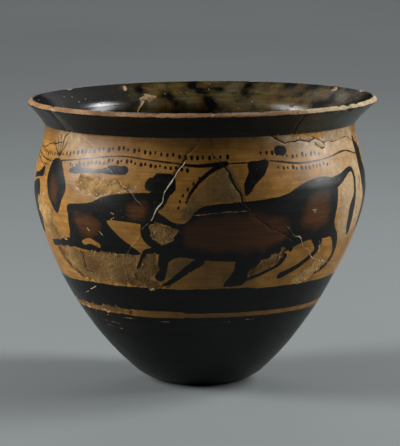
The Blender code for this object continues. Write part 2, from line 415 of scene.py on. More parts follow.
# Places where the surface has flaked away, down to rough clay
FLAKED = [
    area((-49.0, 78.9), (-45.8, 81.6), (-39.5, 81.9), (-33.0, 81.0), (-30.4, 79.6), (-24.0, 79.4),
         (-23.6, 77.6), (-30.0, 77.6), (-33.4, 76.4), (-38.0, 75.2), (-46.6, 77.0)),
    area((-68.1, 53.4), (-60.0, 54.4), (-50.0, 53.8), (-40.6, 54.0), (-28.0, 54.2), (-24.2, 53.0),
         (-26.0, 46.6), (-31.0, 43.2), (-38.6, 42.6), (-47.3, 42.4), (-57.5, 43.6), (-65.0, 47.2)),
    area((-20.6, 54.6), (-16.2, 54.6), (-16.6, 49.0), (-18.4, 44.6), (-11.0, 42.6), (-20.0, 41.8),
         (-29.0, 42.6), (-25.0, 47.6), (-22.0, 51.6)),
    ARM_WINDOW,
    area((43.0, 43.2), (48.4, 48.2), (55.0, 50.6), (60.2, 50.0), (58.4, 46.9), (52.4, 43.0), (46.0, 42.1)),
    area((-71.2, 73.0), (-67.4, 68.0), (-65.2, 61.4), (-62.4, 58.4), (-58.8, 57.4), (-66.0, 56.8),
         (-72.0, 57.4), (-76.0, 61.0), (-80.0, 67.0), (-78.0, 72.0)),
    area((50.6, 57.0), (53.0, 56.4), (52.6, 53.0), (50.8, 54.6)),
    area((19.6, 47.2), (22.9, 50.0), (27.8, 53.2), (33.8, 56.6), (32.4, 53.2), (30.8, 50.9), (25.3, 48.2)),
    area((28.0, 96.6), (38.0, 96.8), (48.6, 96.8), (53.0, 95.8), (50.6, 94.8), (44.0, 95.8), (34.0, 95.9)),
    area((-86.0, 31.8), (-70.0, 32.6), (-56.0, 32.3), (-44.0, 32.9), (-34.0, 31.8), (-34.0, 31.0),
         (-46.0, 30.7), (-60.0, 30.9), (-74.0, 30.6), (-86.0, 30.8)),
    area((150.0, 52.0), (160.0, 50.0), (164.0, 44.6), (150.0, 43.6), (144.0, 46.0)),
    area((-140.0, 58.0), (-132.0, 56.0), (-127.0, 49.0), (-138.0, 46.0), (-146.0, 50.0)),
    area((-172.0, 97.0), (-166.0, 93.6), (-158.0, 94.4), (-160.0, 97.4)),
]

# Places where the slip wore off and left an olive stain, and places that are rubbed and bleached pale
STAINED = [
    area((9.5, 86.7), (13.4, 82.4), (14.1, 75.4), (5.1, 74.8), (-1.0, 70.5), (-5.6, 68.6), (-4.5, 73.8),
         (1.0, 80.8)),
    area((-8.5, 54.0), (-2.0, 52.6), (-6.0, 48.4), (-12.6, 45.6), (-12.0, 50.0)),
    area((14.0, 50.0), (30.0, 49.6), (22.0, 45.0), (10.0, 44.0)),
]
PALE = [
    area((24.0, 97.6), (49.0, 99.0), (72.3, 98.4), (78.7, 88.4), (62.5, 87.4), (46.1, 89.2), (35.0, 92.6)),
    area((-61.0, 97.4), (-53.0, 97.4), (-48.0, 94.0), (-57.0, 92.0), (-66.0, 92.6)),
    area((50.0, 88.0), (62.0, 85.0), (76.0, 88.0), (80.0, 74.0), (76.0, 60.0), (64.0, 58.0), (58.0, 68.0),
         (56.0, 80.0)),
    area((100.0, 97.4), (130.0, 97.4), (124.0, 92.0), (108.0, 93.0)),
]

# Inside the mouth: a chip with a crack under it, and more cracks where the joins come through
MOUTH_CHIPS = [
    area((-168.4, 102.4), (-164.6, 102.6), (-163.0, 100.8), (-165.4, 99.8), (-168.0, 100.8)),
    area((-157.8, 105.2), (-157.0, 105.3), (-156.8, 104.8), (-157.6, 104.6)),
    area((129.6, 106.2), (131.4, 106.2), (132.0, 105.8), (130.4, 105.7)),
]
MOUTH_CRACKS = [
    line(0.22, (-164.0, 100.0), (-161.6, 97.4), (-160.0, 94.0), (-158.0, 84.0), (-164.0, 70.0)),
    line(0.10, (146.0, 99.0), (152.0, 88.0)),
    line(0.16, (36.0, 105.8), (36.6, 98.0), (30.0, 86.0), (20.0, 68.0)),
    line(0.16, (-61.0, 105.8), (-57.0, 97.0), (-46.0, 84.0)),
]

# Slip that fired brown and olive inside the mouth: its middle, half width and the fade at its ends, in mm
MISFIRE_MIDDLE = 163.0
MISFIRE_HALF = 57.0
MISFIRE_FADE = 10.0

# Slip that turned olive on the rim: a stretch with a sharp start and a slow end, and a patch
OLIVE_RIM_START = 36.4
OLIVE_RIM_EDGE = 0.8
OLIVE_RIM_END = 96.0
OLIVE_RIM_FADE = 30.0
OLIVE_PATCH_SOFT = 0.2
OLIVE_PATCH = area((-61.6, 105.4), (-57.6, 104.6), (-53.4, 97.3), (-57.4, 97.0), (-60.2, 100.0))

# How far in mm the slip still reaches over the lip's inner edge, at places round the cup
LIP_SLIP = ((-190.0, 0.4), (-130.0, 0.4), (-90.0, 0.0), (-50.0, 0.0), (-22.0, 0.4), (20.0, 0.4), (36.0, 0.0),
            (90.0, 0.0), (130.0, 0.4), (190.0, 0.4))

# Places whose edges the crumbling noise frays, and by how many mm it does
FRAYED_PLACES = {
    "undotted": (UNDOTTED, 0.0),
    "brown": (BROWN_PLACES, 0.0),
    "flaked": (FLAKED, 1.5),
    "stained": (STAINED, 1.2),
    "pale": (PALE, 1.5),
    "olive": ([OLIVE_PATCH], 0.6),
}
CHIP_FRAY = 1.9

# Nicks in the lip, as (round, half width, depth) in mm, and their shape across the lip
NICKS = ((58.0, 1.6, 0.9), (52.4, 1.0, 0.5), (63.6, 1.2, 0.7), (36.2, 0.8, 0.7), (-61.0, 0.9, 0.8),
         (-36.0, 0.8, 0.4), (-15.5, 0.6, 0.3), (4.6, 0.9, 0.4), (20.0, 0.7, 0.3), (112.0, 1.4, 0.6),
         (-132.0, 1.8, 0.7), (170.0, 1.2, 0.5), (-84.0, 1.0, 0.5))
NICK_MIDDLE = 0.2
NICK_SPREAD = 1.6
NICK_FRAY = 0.35
NICK_FLOOR = 0.2

# The distances that each of the two materials reads
OUTSIDE_KEPT = ("figure", "vine", "undotted", "crack", "filled", "scratch", "flaked", "stained", "pale",
                "brown", "lip", "olive", "line", "up")
INSIDE_KEPT = ("crack", "depth", "chip", "misfired")


def smooth_path(points, closed, steps=5):
    """A smooth curve through a few points, as rows of the same kind."""
    rows = np.array(points, float)
    if closed:
        before, start, end, after = (np.roll(rows, shift, 0) for shift in (1, 0, -1, -2))
    else:
        padded = np.vstack([2 * rows[0] - rows[1], rows, 2 * rows[-1] - rows[-2]])
        before, start, end, after = padded[:-3], padded[1:-2], padded[2:-1], padded[3:]
    t = (np.arange(steps) / steps)[:, None, None]
    curve = 0.5 * (2 * start + (end - before) * t + (2 * before - 5 * start + 4 * end - after) * t**2
                   + (3 * start - before - 3 * end + after) * t**3)
    path = curve.transpose(1, 0, 2).reshape(-1, rows.shape[1])
    return path if closed else np.vstack([path, rows[-1]])


def nearest_part(x, h, start, end):
    """Share of the way from start to end that is nearest to each place, and the gap to it."""
    run_x, run_h = end[0] - start[0], end[1] - start[1]
    share = ((x - start[0]) * run_x + (h - start[1]) * run_h) / max(run_x**2 + run_h**2, TINY)
    share = np.clip(share, 0.0, 1.0)
    return share, np.hypot(x - start[0] - share * run_x, h - start[1] - share * run_h)


def stroke_distance(x, h, path):
    """Distance from a brush stroke's edge, below 0 inside it."""
    nearest = np.full(len(x), FAR)
    for start, end in zip(path, path[1:]):
        share, gap = nearest_part(x, h, start, end)
        nearest = np.minimum(nearest, gap - start[2] - share * (end[2] - start[2]))
    return nearest


def area_distance(x, h, path):
    """Distance from a closed outline, below 0 inside it."""
    nearest = np.full(len(x), FAR)
    inside = np.zeros(len(x), bool)
    for start, end in zip(path, np.roll(path, -1, 0)):
        nearest = np.minimum(nearest, nearest_part(x, h, start, end)[1])
        if start[1] != end[1]:
            crossing = start[0] + (end[0] - start[0]) * (h - start[1]) / (end[1] - start[1])
            inside ^= ((start[1] > h) != (end[1] > h)) & (x < crossing)
    return np.where(inside, -nearest, nearest)


def way_round(x, place):
    """The shorter way round the wall from a place to each x, in mm."""
    return (x - place + ROUND / 2) % ROUND - ROUND / 2


def marks_distance(marks, x, h, where):
    """Distance in mm from the nearest of the marks: below 0 inside one, FAR out of reach or elsewhere."""
    distance = np.full(len(x), FAR)
    for mark in marks:
        path = smooth_path(mark.points, mark.closed)
        low, high = path[:, :2].min(0) - MARK_REACH, path[:, :2].max(0) + MARK_REACH
        middle = (low[0] + high[0]) / 2
        unwrapped = way_round(x, middle) + middle
        near = where & (unwrapped > low[0]) & (unwrapped < high[0]) & (h > low[1]) & (h < high[1])
        measure = area_distance if mark.closed else stroke_distance
        distance[near] = np.minimum(distance[near], measure(unwrapped[near], h[near], path))
    return distance


def eased(value, start, end):
    """0 before start and 1 after end, with a smooth rise between them."""
    share = np.clip((value - start) / (end - start), 0.0, 1.0)
    return share * share * (3.0 - 2.0 * share)


def read_off(table, at):
    """Values at some places, between the (place, value) rows of a table."""
    return np.interp(at, *np.transpose(table))


def solid_section():
    """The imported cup's section as (radius, height) rows in mm, from its underside round to its floor."""
    solid = bmesh.new()
    solid.from_mesh(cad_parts["cup"].data)
    bmesh.ops.remove_doubles(solid, verts=solid.verts[:], dist=MERGE)
    in_plane = [v for v in solid.verts if abs(v.co.y) < MERGE and v.co.x > -MERGE]
    here = min(in_plane, key=lambda v: (round(v.co.z / MM, 2), v.co.x))
    left = set(in_plane)
    rows = [] if here.co.x < MERGE else [(0.0, here.co.z / MM)]
    while here:
        rows.append((max(here.co.x, 0.0) / MM, here.co.z / MM))
        left.remove(here)
        following = [e.other_vert(here) for e in here.link_edges if e.other_vert(here) in left]
        here = following[0] if following else None
    solid.free()
    if left or len(rows) < LEAST_SECTION_ROWS:
        raise RuntimeError("the packed cup has no plain turned section")
    return np.array(rows)


def lengths_along(path):
    """The distance run along a path, at each of its rows."""
    return np.concatenate([[0.0], np.cumsum(np.hypot(*np.diff(path, axis=0).T))])


def row_gaps(even, height, nearest_corner, corners):
    """How far apart the rows of the mesh may lie at each place along the section, in mm."""
    base_edge, neck, lip_out, lip_in, floor_edge = corners
    gap = np.full(len(even), ROW_GAPS["bowl"])
    gap[(even > lip_in) & (height > MOUTH_HEIGHT)] = ROW_GAPS["mouth"]
    gap[even < neck] = np.where(height[even < neck] > FRIEZE_FOOT - FRIEZE_MARGIN,
                                ROW_GAPS["frieze"], ROW_GAPS["lower"])
    gap[(even < base_edge) | (even > floor_edge)] = ROW_GAPS["under"]
    gap[(even > neck) & (even < lip_out)] = ROW_GAPS["rim"]
    gap[(even > lip_out - LIP_MARGIN) & (even < lip_in + LIP_MARGIN)] = ROW_GAPS["lip"]
    gap[nearest_corner < 2 * CORNER_SOFTNESS] = ROW_GAPS["lip"]
    return gap


def fine_section():
    """The section with smooth stretches, softened corners and rows as close as each part needs.

    Returns (radius, height, distance along the section) rows in mm, and where the lip's corners lie."""
    rows = solid_section()
    steps = np.diff(rows, axis=0)
    heading = np.arctan2(steps[:, 1], steps[:, 0])
    turn = np.abs((np.diff(heading) + math.pi) % math.tau - math.pi)
    sharp = [i + 1 for i in np.flatnonzero(turn > CORNER_TURN)]
    if len(sharp) != 3:
        raise RuntimeError("the section's corners at the neck and the lip aren't plain")
    ends = [0, 1, *sharp, len(rows) - 2, len(rows) - 1]
    stretches = [smooth_path(rows[a:b + 1], False, SECTION_STEPS) for a, b in zip(ends, ends[1:])]
    path = np.vstack([stretches[0]] + [stretch[1:] for stretch in stretches[1:]])
    along = lengths_along(path)
    corners = np.cumsum([lengths_along(stretch)[-1] for stretch in stretches])[:-1]

    even = np.arange(0.0, along[-1], SECTION_STEP)
    even_path = np.column_stack([np.interp(even, along, path[:, axis]) for axis in (0, 1)])
    half = int(CORNER_SOFTNESS / SECTION_STEP)
    kernel = np.ones(2 * half + 1) / (2 * half + 1)
    soft = np.column_stack([np.convolve(even_path[:, axis], kernel, "same") for axis in (0, 1)])
    nearest_corner = np.min([np.abs(even - place) for place in corners], axis=0)
    even_path = np.where((nearest_corner < 3 * CORNER_SOFTNESS)[:, None], soft, even_path)

    count = np.cumsum(SECTION_STEP / row_gaps(even, even_path[:, 1], nearest_corner, corners))
    wanted = np.linspace(count[0], count[-1], int(round(count[-1])))
    chosen = np.interp(wanted, count, even)
    section = np.column_stack([np.interp(chosen, even, even_path[:, 0]),
                               np.interp(chosen, even, even_path[:, 1]), chosen])
    section[0, 0] = section[-1, 0] = 0.0
    return section, {"lip_out": corners[2], "lip_in": corners[3]}


def spun_wall(section):
    """The section spun about Z into a closed skin, with the distance along the section kept on it."""
    wall = bmesh.new()
    along_layer = wall.verts.layers.float.new("along")
    chain = []
    for radius, height, along in section:
        vertex = wall.verts.new((radius * MM, 0.0, height * MM))
        vertex[along_layer] = along
        chain.append(vertex)
    for lower, upper in zip(chain, chain[1:]):
        wall.edges.new((lower, upper))
    bmesh.ops.spin(wall, geom=wall.verts[:] + wall.edges[:], cent=(0.0, 0.0, 0.0), axis=(0.0, 0.0, 1.0),
                   angle=math.tau, steps=COLUMNS, use_merge=True)
    bmesh.ops.remove_doubles(wall, verts=wall.verts[:], dist=MERGE)
    bmesh.ops.recalc_face_normals(wall, faces=wall.faces[:])
    return wall


def measured(wall, corners):
    """Every distance that the painting and the breaks need, in mm, measured at the wall's vertices."""
    along_layer = wall.verts.layers.float["along"]
    spots = np.array([v.co for v in wall.verts]) / MM
    along = np.array([v[along_layer] for v in wall.verts])
    round_at = np.arctan2(spots[:, 0], -spots[:, 1]) * FRIEZE_RADIUS
    up = spots[:, 2]
    outside = along < corners["lip_in"]
    mouth = (along > corners["lip_in"]) & (up > MOUTH_MARKS_FOOT)

    wander = np.array([noise.noise_vector(v.co / MM * WANDER_SCALE) for v in wall.verts])
    crumble = np.array([noise.fractal(v.co / MM * CRUMBLE_SCALE, *CRUMBLE_NOISE) for v in wall.verts])
    drawn = (round_at + wander[:, 2] * BRUSH_WANDER, up)
    cracked = (round_at + wander[:, 0] * CRACK_WANDER, up + wander[:, 1] * CRACK_WANDER)
    scratched = (round_at, up + wander[:, 1] * SCRATCH_WANDER)

    figures = marks_distance(SLIP_FIGURES, *drawn, outside)
    windows = marks_distance(FIGURE_WINDOWS, *drawn, outside)
    vine_ends = ((VINE[-1][0] - ROUND, VINE[-1][1]), (VINE[0][0] + ROUND, VINE[0][1]))
    stem = smooth_path((vine_ends[0], *VINE, vine_ends[1]), False, VINE_STEPS)
    found = {
        "up": up,
        "along": along,
        "depth": along - corners["lip_in"],
        "lip": np.minimum(along - corners["lip_out"],
                          corners["lip_in"] - along - read_off(LIP_SLIP, round_at)),
        "line": read_off(RESERVED_LINE, round_at),
        "vine": up - read_off(stem, round_at),
        "figure": -np.maximum(figures, -windows),
        "crack": np.minimum(marks_distance(CRACKS, *cracked, outside),
                            marks_distance(MOUTH_CRACKS, *cracked, mouth)),
        "filled": marks_distance(FILLED_JOINS, *cracked, outside),
        "scratch": marks_distance(SCRATCHES, *scratched, outside),
        "chip": -marks_distance(MOUTH_CHIPS, round_at, up, mouth) + crumble * CHIP_FRAY,
    }
    for name, (marks, fray) in FRAYED_PLACES.items():
        found[name] = -marks_distance(marks, round_at, up, outside) + crumble * fray

    found["nicked"] = np.zeros(len(up))
    for place, half, deep in NICKS:
        reach = np.hypot(way_round(round_at, place) / half, (found["lip"] - NICK_MIDDLE) / NICK_SPREAD)
        reach = eased(reach + crumble * NICK_FRAY, NICK_FLOOR, 1.0)
        found["nicked"] = np.maximum(found["nicked"], deep * (1.0 - reach))

    misfire_gap = np.abs(way_round(round_at, MISFIRE_MIDDLE))
    found["misfired"] = 1.0 - eased(misfire_gap, MISFIRE_HALF - MISFIRE_FADE, MISFIRE_HALF + MISFIRE_FADE)
    olive_rim = (eased(round_at, OLIVE_RIM_START, OLIVE_RIM_START + OLIVE_RIM_EDGE)
                 * eased(up, NECK_HEIGHT - 1.0, NECK_HEIGHT)
                 * (1.0 - eased(round_at, OLIVE_RIM_END, OLIVE_RIM_END + OLIVE_RIM_FADE)))
    found["olive"] = np.maximum(olive_rim, eased(found["olive"], -OLIVE_PATCH_SOFT, OLIVE_PATCH_SOFT))
    return found


def refined(wall, corners):
    """Cuts the mesh finer, round by round, where paint edges, cracks and broken places run."""
    for reach in REFINING:
        found = measured(wall, corners)
        lines = np.minimum(np.minimum(found["crack"], found["filled"]), found["scratch"])
        edges = np.minimum(np.abs(found["figure"]), np.abs(found["flaked"]))
        near = ((lines < reach.lines) | (edges < reach.edges) | (np.abs(found["chip"]) < reach.chips)
                | (found["flaked"] > reach.flaked) | (found["nicked"] > reach.nicked)).tolist()
        wall.verts.index_update()
        cut = [e for e in wall.edges if near[e.verts[0].index] and near[e.verts[1].index]]
        bmesh.ops.subdivide_edges(wall, edges=cut, cuts=1, use_grid_fill=True)
    return measured(wall, corners)


def relief(wall, found, wear):
    """How far each vertex stands out of the smooth wall, in mm."""
    rings = np.array([noise.fractal(Vector((step * RING_STRIDE, RING_ROW, 0.0)), *RING_NOISE)
                      for step in range(RING_COUNT)])
    ring_depth = np.where(found["depth"] > 0.0, INSIDE_RING_SHARE, 1.0) * wear.ring_depth / MM
    height = np.interp(found["along"], np.arange(RING_COUNT) * RING_SPACING, rings)
    height = height * ring_depth * eased(found["up"], *TABLE_CLEARANCE)
    lines = (("crack", -wear.crack_depth, 0.3), ("filled", wear.fill_height, 0.4),
             ("scratch", -SCRATCH_SHARE * wear.crack_depth, 0.2))
    for name, rise, reach in lines:
        height += rise / MM * (1.0 - eased(found[name], -LINE_FLOOR, reach))
    flake_depth = wear.flake_depth / MM
    broken = np.maximum(eased(found["flaked"], *BREAK_SLOPE), eased(found["chip"], *BREAK_SLOPE))
    height -= flake_depth * broken
    bare = eased(found["lip"], *LIP_WORN)
    for index in np.flatnonzero((broken > 0.0) | (found["lip"] > LIP_GRIT_START)).tolist():
        grit = noise.fractal(wall.verts[index].co / MM * GRIT_SCALE, *GRIT_NOISE)
        height[index] += flake_depth * (BREAK_GRIT * broken[index] + LIP_GRIT * bare[index]) * grit
    return height - found["nicked"]


def thrown(spots):
    """Moves spots (in mm) as the real cup strays from a true turned shape: it leans, and its rim tilts."""
    moved_spots = spots.copy()
    moved_spots[:, 0] += read_off(LEAN, spots[:, 2])
    moved_spots[:, 2] += RIM_TILT * spots[:, 0] / RIM_RADIUS * eased(spots[:, 2], *RIM_TILT_HEIGHTS)
    return moved_spots


def cup_mesh(wear):
    """The whole wall as one closed mesh, with its distances as attributes."""
    noise.seed_set(WANDER_SEED)
    section, corners = fine_section()
    wall = spun_wall(section)
    found = refined(wall, corners)
    wall.normal_update()
    normals = np.array([v.normal for v in wall.verts])
    spots = np.array([v.co for v in wall.verts]) / MM
    wall.verts.ensure_lookup_table()
    spots = thrown(spots + normals * relief(wall, found, wear)[:, None])
    spots[:, 2] = np.maximum(spots[:, 2], 0.0)
    inside = found["depth"] > 0.0
    for face in wall.faces:
        face.material_index = int(all(inside[v.index] for v in face.verts))
        face.smooth = True
    mesh = bpy.data.meshes.new("mastos_cup")
    wall.to_mesh(mesh)
    wall.free()
    mesh.vertices.foreach_set("co", (spots * MM).astype(np.float32).ravel())
    for name in sorted({*OUTSIDE_KEPT, *INSIDE_KEPT}):
        layer = mesh.attributes.new(name, "FLOAT", "POINT")
        layer.data.foreach_set("value", found[name].astype(np.float32))
    mesh.update()
    return mesh


def add_node(tree, kind, inputs=None, output=0, **settings):
    """Adds one node with its settings and links, and gives the output asked for."""
    node = tree.nodes.new(kind)
    for name, value in settings.items():
        setattr(node, name, value)
    for socket, value in (inputs or {}).items():
        if isinstance(value, bpy.types.NodeSocket):
            tree.links.new(value, node.inputs[socket])
        else:
            node.inputs[socket].default_value = value
    return node.outputs[output] if node.outputs else node


def places(tree):
    """The place on the cup in mm, and the same drawn out along the turning."""
    spot = add_node(tree, "ShaderNodeTexCoord", output="Object")
    place = add_node(tree, VECTOR, {0: spot, "Scale": 1.0 / MM}, operation="SCALE")
    return place, add_node(tree, VECTOR, {0: place, 1: DRAWN_OUT}, operation="MULTIPLY")


def kept_distances(tree, names):
    """The distances in mm that the mesh keeps, by name."""
    return {name: add_node(tree, "ShaderNodeAttribute", attribute_name=name, output="Fac") for name in names}


def grain(tree, place, size, low, high, detail=3.0):
    """Noise with features of about size mm, from low to high."""
    raw = add_node(tree, "ShaderNodeTexNoise", {"Vector": place, "Scale": 1.0 / size, "Detail": detail},
                   output="Fac")
    return add_node(tree, RANGE, {"Value": raw, "From Min": NOISE_LOW, "From Max": NOISE_HIGH,
                                  "To Min": low, "To Max": high})


def mottled(tree, colour, *patches):
    """A colour with others laid on it in turn, each as (place, size in mm, low, high, detail, colour)."""
    for place, size, low, high, detail, patch in patches:
        colour = add_node(tree, MIX, {0: grain(tree, place, size, low, high, detail), 6: colour, 7: patch},
                          **COLOURS)
    return colour


def within(tree, distance, soft, wobble=0.0, turn=1.0):
    """1 where distance times turn, plus wobble, is above 0, with an edge soft mm wide on each side."""
    value = add_node(tree, MATH, {0: distance, 1: turn, 2: wobble}, operation="MULTIPLY_ADD")
    return add_node(tree, RANGE, {"Value": value, "From Min": -soft, "From Max": soft},
                    interpolation_type="SMOOTHSTEP")


def laid_over(tree, mask, under, over):
    """One finish over another where the mask is 1."""
    return Surface(add_node(tree, MIX, {0: mask, 6: under.colour, 7: over.colour}, **COLOURS),
                   add_node(tree, MIX, {0: mask, 2: under.roughness, 3: over.roughness}),
                   add_node(tree, MIX, {0: mask, 2: under.height, 3: over.height}))


def burnished_clay(tree, place, turning, finish):
    """Iron-rich clay rubbed smooth before firing: orange with browner drifts, turning streaks and pits."""
    colour = mottled(tree, finish.clay,
                     (place, 16.0, 0.0, 1.0, 3.0, finish.clay_shade),
                     (turning, 1.0, -0.18, 0.58, 6.0, finish.clay_deep),
                     (place, 5.0, -0.3, 0.60, 6.0, finish.clay_deep))
    # The clay's own pits are about 0.1 mm wide, too fine to show, and are drawn at 0.5 mm
    pits = add_node(tree, RANGE, {"Value": grain(tree, place, 0.5, 0.0, 1.0, 2.0),
                                  "From Min": 0.85, "From Max": 1.0, "To Max": 0.6})
    colour = add_node(tree, MIX, {0: pits, 6: colour, 7: finish.dirt}, **COLOURS)
    return Surface(colour, grain(tree, place, 3.0, 0.34, 0.44), grain(tree, place, 0.6, -0.006, 0.006))


def aged_clay(tree, place, found, clay, finish):
    """The same clay as the years left it: bleached and crazed at the neck, brown where the reserved line
    lies under a thin wash, darkened by painted shade under the rim, and olive where slip wore off."""
    # Crazing runs in meshes of a few mm, as hairlines that are drawn wide enough to show
    bleached = add_node(tree, MATH, {0: within(tree, found["pale"], 4.0),
                                     1: grain(tree, place, 2.4, 0.35, 1.0, 5.0)}, operation="MULTIPLY")
    crazed = add_node(tree, "ShaderNodeTexVoronoi", {"Vector": place, "Scale": 1.0 / CRAZING_SIZE},
                      output="Distance", feature="DISTANCE_TO_EDGE")
    crazed = add_node(tree, RANGE, {"Value": crazed, "From Min": 0.045, "From Max": 0.01, "To Max": 0.55})
    crazed = add_node(tree, MATH, {0: crazed, 1: bleached}, operation="MULTIPLY")
    up = found["up"]
    washed = add_node(tree, RANGE, {"Value": up, "From Min": 40.0, "From Max": 36.0, "To Max": 0.35})
    # Painted shade: the clay darkens under the rim's overhang, from 90 to 96.6 mm up, except where it is
    # bleached
    rim_shade = add_node(tree, RANGE, {"Value": up, "From Min": 90.0, "From Max": 96.6, "To Max": 0.6})
    unbleached = add_node(tree, MATH, {0: 1.0, 1: bleached}, operation="SUBTRACT")
    rim_shade = add_node(tree, MATH, {0: rim_shade, 1: unbleached}, operation="MULTIPLY")
    colour = clay.colour
    for mask, tint in ((bleached, finish.clay_pale), (crazed, finish.crazing_and_shade), (washed, finish.slip_brown),
                       (rim_shade, finish.crazing_and_shade)):
        colour = add_node(tree, MIX, {0: mask, 6: colour, 7: tint}, **COLOURS)
    worn_slip = Surface(mottled(tree, finish.olive, (place, 1.1, -0.4, 0.8, 6.0, finish.clay_shade)),
                        0.7, grain(tree, place, 0.7, -0.05, 0.05, 5.0))
    stained = add_node(tree, MATH, {0: within(tree, found["stained"], 0.3),
                                    1: grain(tree, place, 4.0, 0.35, 0.9)}, operation="MULTIPLY")
    return laid_over(tree, stained, clay._replace(colour=colour), worn_slip)


def gloss_slip(tree, place, turning, finish, roughness):
    """Fine clay slip fired black: dense and glossy, browner where the brush left it thin."""
    thin = add_node(tree, RANGE, {"Value": grain(tree, turning, 1.4, 0.0, 1.0, 4.0),
                                  "From Min": 0.55, "From Max": 1.3})
    colour = add_node(tree, MIX, {0: thin, 6: finish.slip, 7: finish.slip_thin}, **COLOURS)
    return Surface(colour, grain(tree, place, 5.0, roughness, roughness + 0.08),
                   grain(tree, turning, 0.5, -0.005, 0.005, 4.0))


def misfired_slip(tree, place, turning, finish, colour):
    """The same slip where it stayed brown or olive in the kiln, duller and streaked along the turning."""
    return Surface(mottled(tree, colour, (turning, 0.8, 0.0, 0.6, 4.0, finish.slip)),
                   grain(tree, place, 4.0, 0.26, 0.38), grain(tree, turning, 0.5, -0.005, 0.005, 4.0))


def broken_clay(tree, place, finish, pale, dark):
    """Clay whose skin is gone: a rough, mottled break with cream flecks, and soil in its pits."""
    colour = mottled(tree, pale,
                     (place, 12.0, -0.3, 1.1, 5.0, dark),
                     (place, 2.4, -0.5, 0.6, 6.0, dark),
                     (place, 0.8, -1.5, 0.40, 4.0, finish.plaster))
    # Grit and soil lie in grains of 0.1 to 0.5 mm, of which only the coarser ones show
    soil = add_node(tree, RANGE, {"Value": grain(tree, place, 0.6, 0.0, 1.0, 5.0),
                                  "From Min": 0.70, "From Max": 1.0, "To Max": 0.6})
    colour = add_node(tree, MIX, {0: soil, 6: colour, 7: finish.dirt}, **COLOURS)
    return Surface(colour, grain(tree, place, 1.0, 0.75, 0.95), grain(tree, place, 0.7, -0.06, 0.06, 5.0))


def flaked_clay(tree, place, found, round_at, finish):
    """The break of the flaked places outside: darkened low down by painted shade, less on the right, and
    fresher under the rim.
    """
    broken = broken_clay(tree, place, finish, finish.break_pale, finish.break_dark)
    up = found["up"]
    # Painted shade: the break darkens below 68 mm towards the frieze foot, in patches, and less right of 34
    # mm round
    low_shade = add_node(tree, RANGE, {"Value": up, "From Min": 68.0, "From Max": 52.0, "To Max": 1.0})
    low_shade = add_node(tree, MATH, {0: low_shade, 1: grain(tree, place, 7.0, 0.35, 1.2, 5.0)},
                      operation="MULTIPLY")
    shade_share = add_node(tree, RANGE, {"Value": round_at, "From Min": 34.0, "From Max": 42.0,
                                    "To Min": 1.0, "To Max": 0.35})
    low_shade = add_node(tree, MATH, {0: low_shade, 1: shade_share}, operation="MULTIPLY")
    fresh = add_node(tree, RANGE, {"Value": up, "From Min": 92.0, "From Max": 95.0, "To Max": 0.6})
    colour = broken.colour
    for mask, tint in ((low_shade, finish.break_dark), (fresh, finish.clay)):
        colour = add_node(tree, MIX, {0: mask, 6: colour, 7: tint}, **COLOURS)
    return broken._replace(colour=colour)


def speckled(tree, place, spacing, radius, share, strength):
    """Small round spots, about one to each spacing in mm, of which only a share is kept."""
    cells = {"Vector": place, "Scale": 1.0 / spacing, "Randomness": 1.0}
    gap = add_node(tree, "ShaderNodeTexVoronoi", cells, output="Distance")
    number = add_node(tree, "ShaderNodeTexVoronoi", cells, output="Color")
    number = add_node(tree, "ShaderNodeSeparateColor", {"Color": number})
    small = add_node(tree, RANGE, {"Value": gap, "From Min": radius / spacing,
                                   "From Max": 0.6 * radius / spacing, "To Max": strength})
    chosen = add_node(tree, MATH, {0: number, 1: share}, operation="LESS_THAN")
    return add_node(tree, MATH, {0: small, 1: chosen}, operation="MULTIPLY")


def dots(tree, round_at, across, row):
    """One row of brushed dots along the vine, as a mask of ellipses that are each a little astray."""
    cell = add_node(tree, MATH, {0: round_at, 1: row.spacing}, operation="DIVIDE")
    number = add_node(tree, MATH, {0: cell}, operation="FLOOR")
    astray = add_node(tree, "ShaderNodeTexWhiteNoise", {"W": number}, output="Color", noise_dimensions="1D")
    astray = add_node(tree, VECTOR, {0: astray, 1: (0.5, 0.5, 0.5)}, operation="SUBTRACT")
    part = add_node(tree, MATH, {0: cell}, operation="FRACT")
    along = add_node(tree, MATH, {0: part, 1: row.spacing, 2: -0.5 * row.spacing}, operation="MULTIPLY_ADD")
    off_row = add_node(tree, MATH, {0: across, 1: row.offset}, operation="SUBTRACT")
    gap = add_node(tree, "ShaderNodeCombineXYZ", {"X": along, "Y": off_row})
    gap = add_node(tree, VECTOR, {0: astray, 1: DOT_ASTRAY, 2: gap}, operation="MULTIPLY_ADD")
    gap = add_node(tree, VECTOR, {0: gap, 1: (2.0 / row.wide, 2.0 / row.tall, 0.0)}, operation="MULTIPLY")
    reach = add_node(tree, VECTOR, {0: gap}, output="Value", operation="LENGTH")
    smaller = add_node(tree, "ShaderNodeTexWhiteNoise", {"W": number}, output="Value", noise_dimensions="1D")
    reach = add_node(tree, MATH, {0: smaller, 1: 0.5, 2: reach}, operation="MULTIPLY_ADD")
    return add_node(tree, RANGE, {"Value": reach, "From Min": 1.4, "From Max": 1.0})


